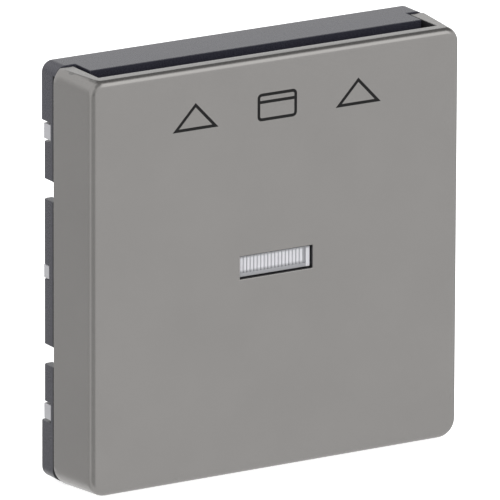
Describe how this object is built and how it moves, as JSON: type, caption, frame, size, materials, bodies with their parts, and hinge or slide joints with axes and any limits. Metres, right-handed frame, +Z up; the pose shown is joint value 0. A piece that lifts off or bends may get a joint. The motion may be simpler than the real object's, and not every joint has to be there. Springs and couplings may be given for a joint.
{
  "type": "hotel key card switch",
  "caption": "Square wall plate whose open top slot takes a card that pushes a sprung lever and works a snap switch, with a lit window.",
  "frame": {"origin": "centre of the fixing hole pattern, in the rear plane that the plate rests on the wall with", "axes": "+Y into the wall, +Z up, +X to the right as seen from the front; the card goes in from above, along -Z"},
  "size_m": [0.063, 0.0234, 0.0625],
  "materials": {
    "cover_lacquer": "silver grey lacquer with a fine metallic grain, satin",
    "dark_moulding": "fine matte, moulded in dark grey",
    "clear_lens": "clear, smooth",
    "light_moulding": "plain moulded light grey",
    "dark_lever": "smooth, low friction",
    "pin_steel": "drawn bright",
    "spring_steel": "drawn wire",
    "board_laminate": "solder mask",
    "led_resin": "pale resin",
    "component_black": "moulded black",
    "screw_zinc": "bright zinc",
    "contact_brass": "stamped, plain",
    "contact_silver": "silver faced",
    "housing_moulding": "moulded white grey, fine matte",
    "switch_moulding": "moulded black",
    "plunger_moulding": "smooth red",
    "cage_steel": "plated, stamped"
  },
  "bodies": {
    "fixed_body": {"front_cover": "cover_lacquer", "carrier_frame": "dark_moulding", "window_lens": "clear_lens", "light_guide": "clear_lens", "retaining_clips": "light_moulding", "lever_pin": "pin_steel", "lever_spring": "spring_steel", "circuit_board": "board_laminate", "indicator_leds": "led_resin", "series_resistor": "component_black", "blocking_diode": "component_black", "board_screws": "screw_zinc", "lamp_contacts": "contact_brass", "mechanism_housing": "housing_moulding", "housing_screws": "screw_zinc", "switch_case": "switch_moulding", "switch_lid": "switch_moulding", "fixed_contacts": "contact_silver", "common_terminal": "contact_brass", "closed_terminal": "contact_brass", "open_terminal": "contact_brass", "terminal_cages": "cage_steel", "terminal_screws": "screw_zinc"},
    "card_lever": {"card_lever": "dark_lever"},
    "switch_plunger": {"switch_plunger": "plunger_moulding"},
    "contact_blade": {"contact_blade": "contact_brass", "moving_contact": "contact_silver"}
  },
  "joints": [
    {"name": "card_lever_pivot", "type": "hinge", "parent": "fixed_body", "child": "card_lever", "pos_m": [0, -0.0036, -0.0084], "axis": [1, 0, 0], "range_deg": [0, 10.5], "stiffness_Nm_per_rad": 0.02, "springref_deg": -8.59, "deforming": ["lever_spring"]},
    {"name": "plunger_slide", "type": "slide", "parent": "fixed_body", "child": "switch_plunger", "axis": [0, 0, 1], "range_m": [0, 0.00105]},
    {"name": "blade_hinge", "type": "hinge", "parent": "fixed_body", "child": "contact_blade", "pos_m": [-0.00785, 0.002, -0.001], "axis": [0, -1, 0], "range_deg": [0, 6.4]}
  ],
  "couplings": [
    {"joint": "plunger_slide", "follows": "card_lever_pivot", "m_per_rad": 0.0056},
    {"joint": "blade_hinge", "follows": "card_lever_pivot", "ratio": 0.59893}
  ]
}
